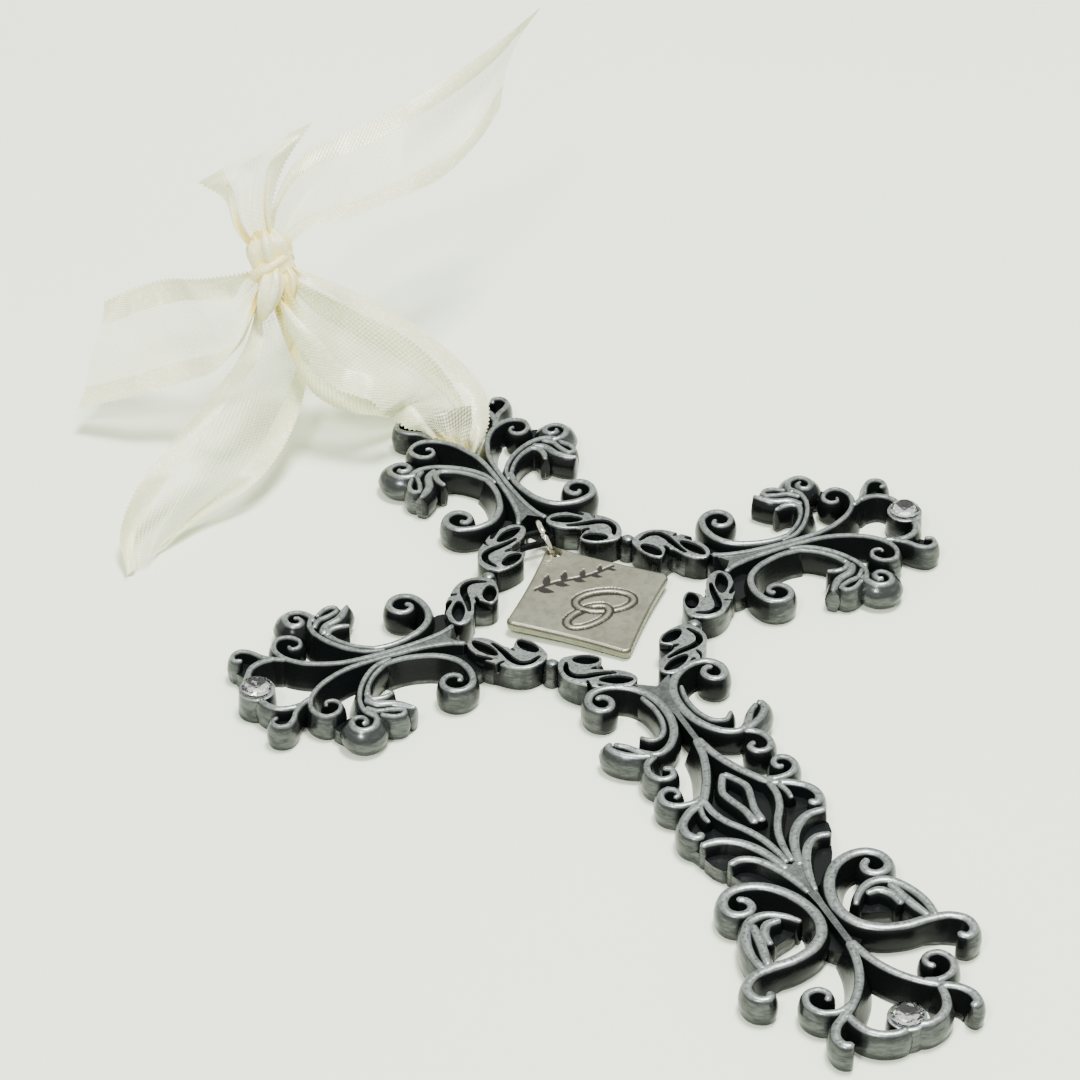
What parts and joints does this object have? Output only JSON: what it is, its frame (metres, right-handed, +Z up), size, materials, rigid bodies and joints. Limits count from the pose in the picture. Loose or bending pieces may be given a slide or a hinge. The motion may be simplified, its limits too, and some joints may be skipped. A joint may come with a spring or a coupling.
{
  "type": "filigree wall cross with ribbon hanger",
  "caption": "Openwork cast metal cross of scrolls and leaves with set stones, a ring-hung square tag and a tied sheer ribbon, lying on its flat back.",
  "frame": {"origin": "on the flat back, in the web where the long arm leaves the middle ring, on the mirror axis", "axes": "+Y along the upper arm, +X along the right arm, +Z up out of the front face"},
  "size_m": [0.0938, 0.1625, 0.037],
  "materials": {
    "cast": "grey cast metal, bright rubbed ridges over black recesses",
    "stone": "clear cut glass stones",
    "tag": "antique pewter with dark strokes",
    "ring": "bright plated wire",
    "ribbon": "ivory organza with satin edges"
  },
  "bodies": {
    "root": {"cross": "cast", "crystal_left": "stone", "crystal_right": "stone", "crystal_foot": "stone", "charm": "tag", "jump_ring": "ring", "ribbon": "ribbon"}
  },
  "joints": []
}
